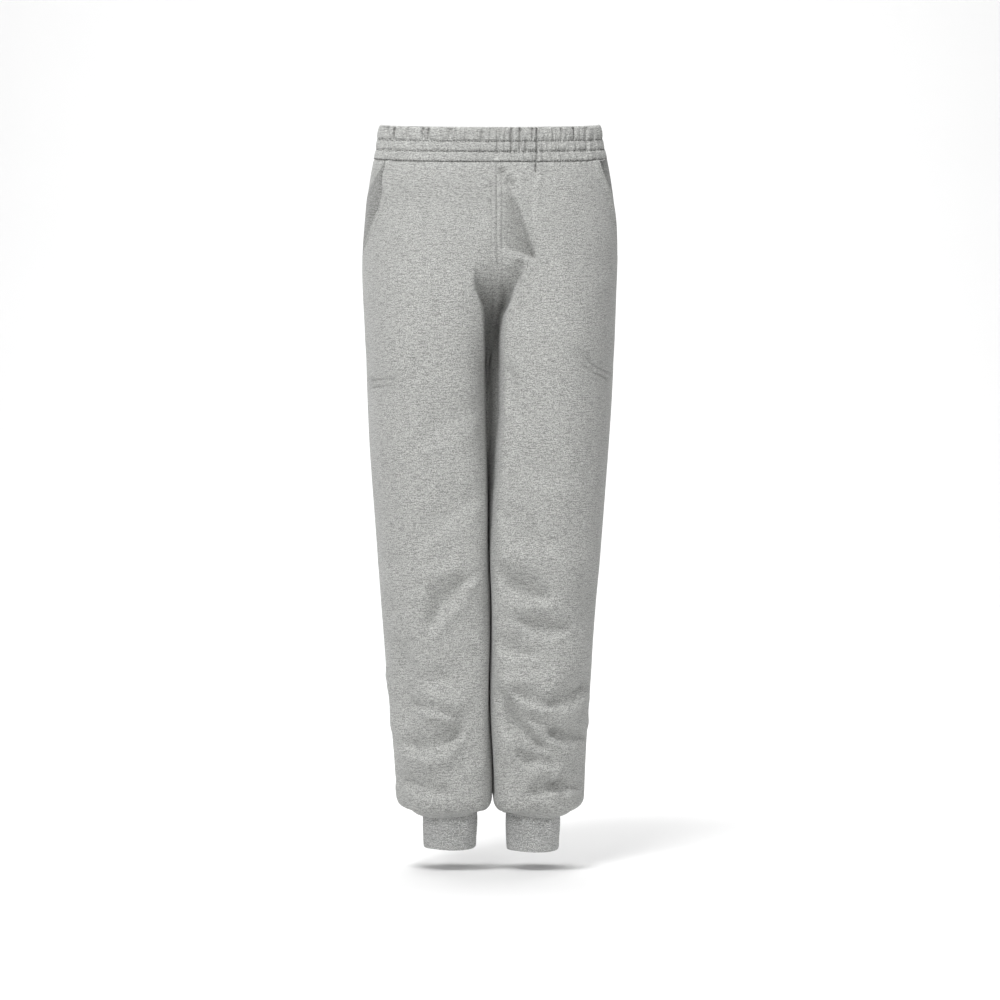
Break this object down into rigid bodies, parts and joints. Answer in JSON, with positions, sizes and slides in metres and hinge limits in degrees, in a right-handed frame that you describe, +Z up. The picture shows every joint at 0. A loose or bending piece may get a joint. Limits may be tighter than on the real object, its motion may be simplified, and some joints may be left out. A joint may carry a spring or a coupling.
{
  "type": "jogger sweatpants",
  "caption": "Plain marled grey jogger sweatpants for a child, filled out as if worn: elastic waistband, two curved side pockets and rib cuffs under bloused legs.",
  "frame": {"origin": "middle of the waistband, half way down its height, where the wearer's waist holds it up", "axes": "+Z up the garment, -Y its front, +X the wearer's left; units are metres"},
  "size_m": [0.2654, 0.1923, 0.7605],
  "materials": {
    "jersey": "matte brushed marled grey jersey",
    "pocket_jersey": "matte marled grey jersey inside the pocket mouths",
    "rib": "matte marled grey fine rib"
  },
  "bodies": {
    "root": {"waistband": "jersey", "front_right_upper": "jersey", "front_right_lower": "jersey", "front_left_upper": "jersey", "front_left_lower": "jersey", "back_right_upper": "jersey", "back_right_lower": "jersey", "back_left_upper": "jersey", "back_left_lower": "jersey", "pocket_bag_right": "pocket_jersey", "pocket_bag_left": "pocket_jersey", "cuff_right": "rib", "cuff_left": "rib"}
  },
  "joints": []
}
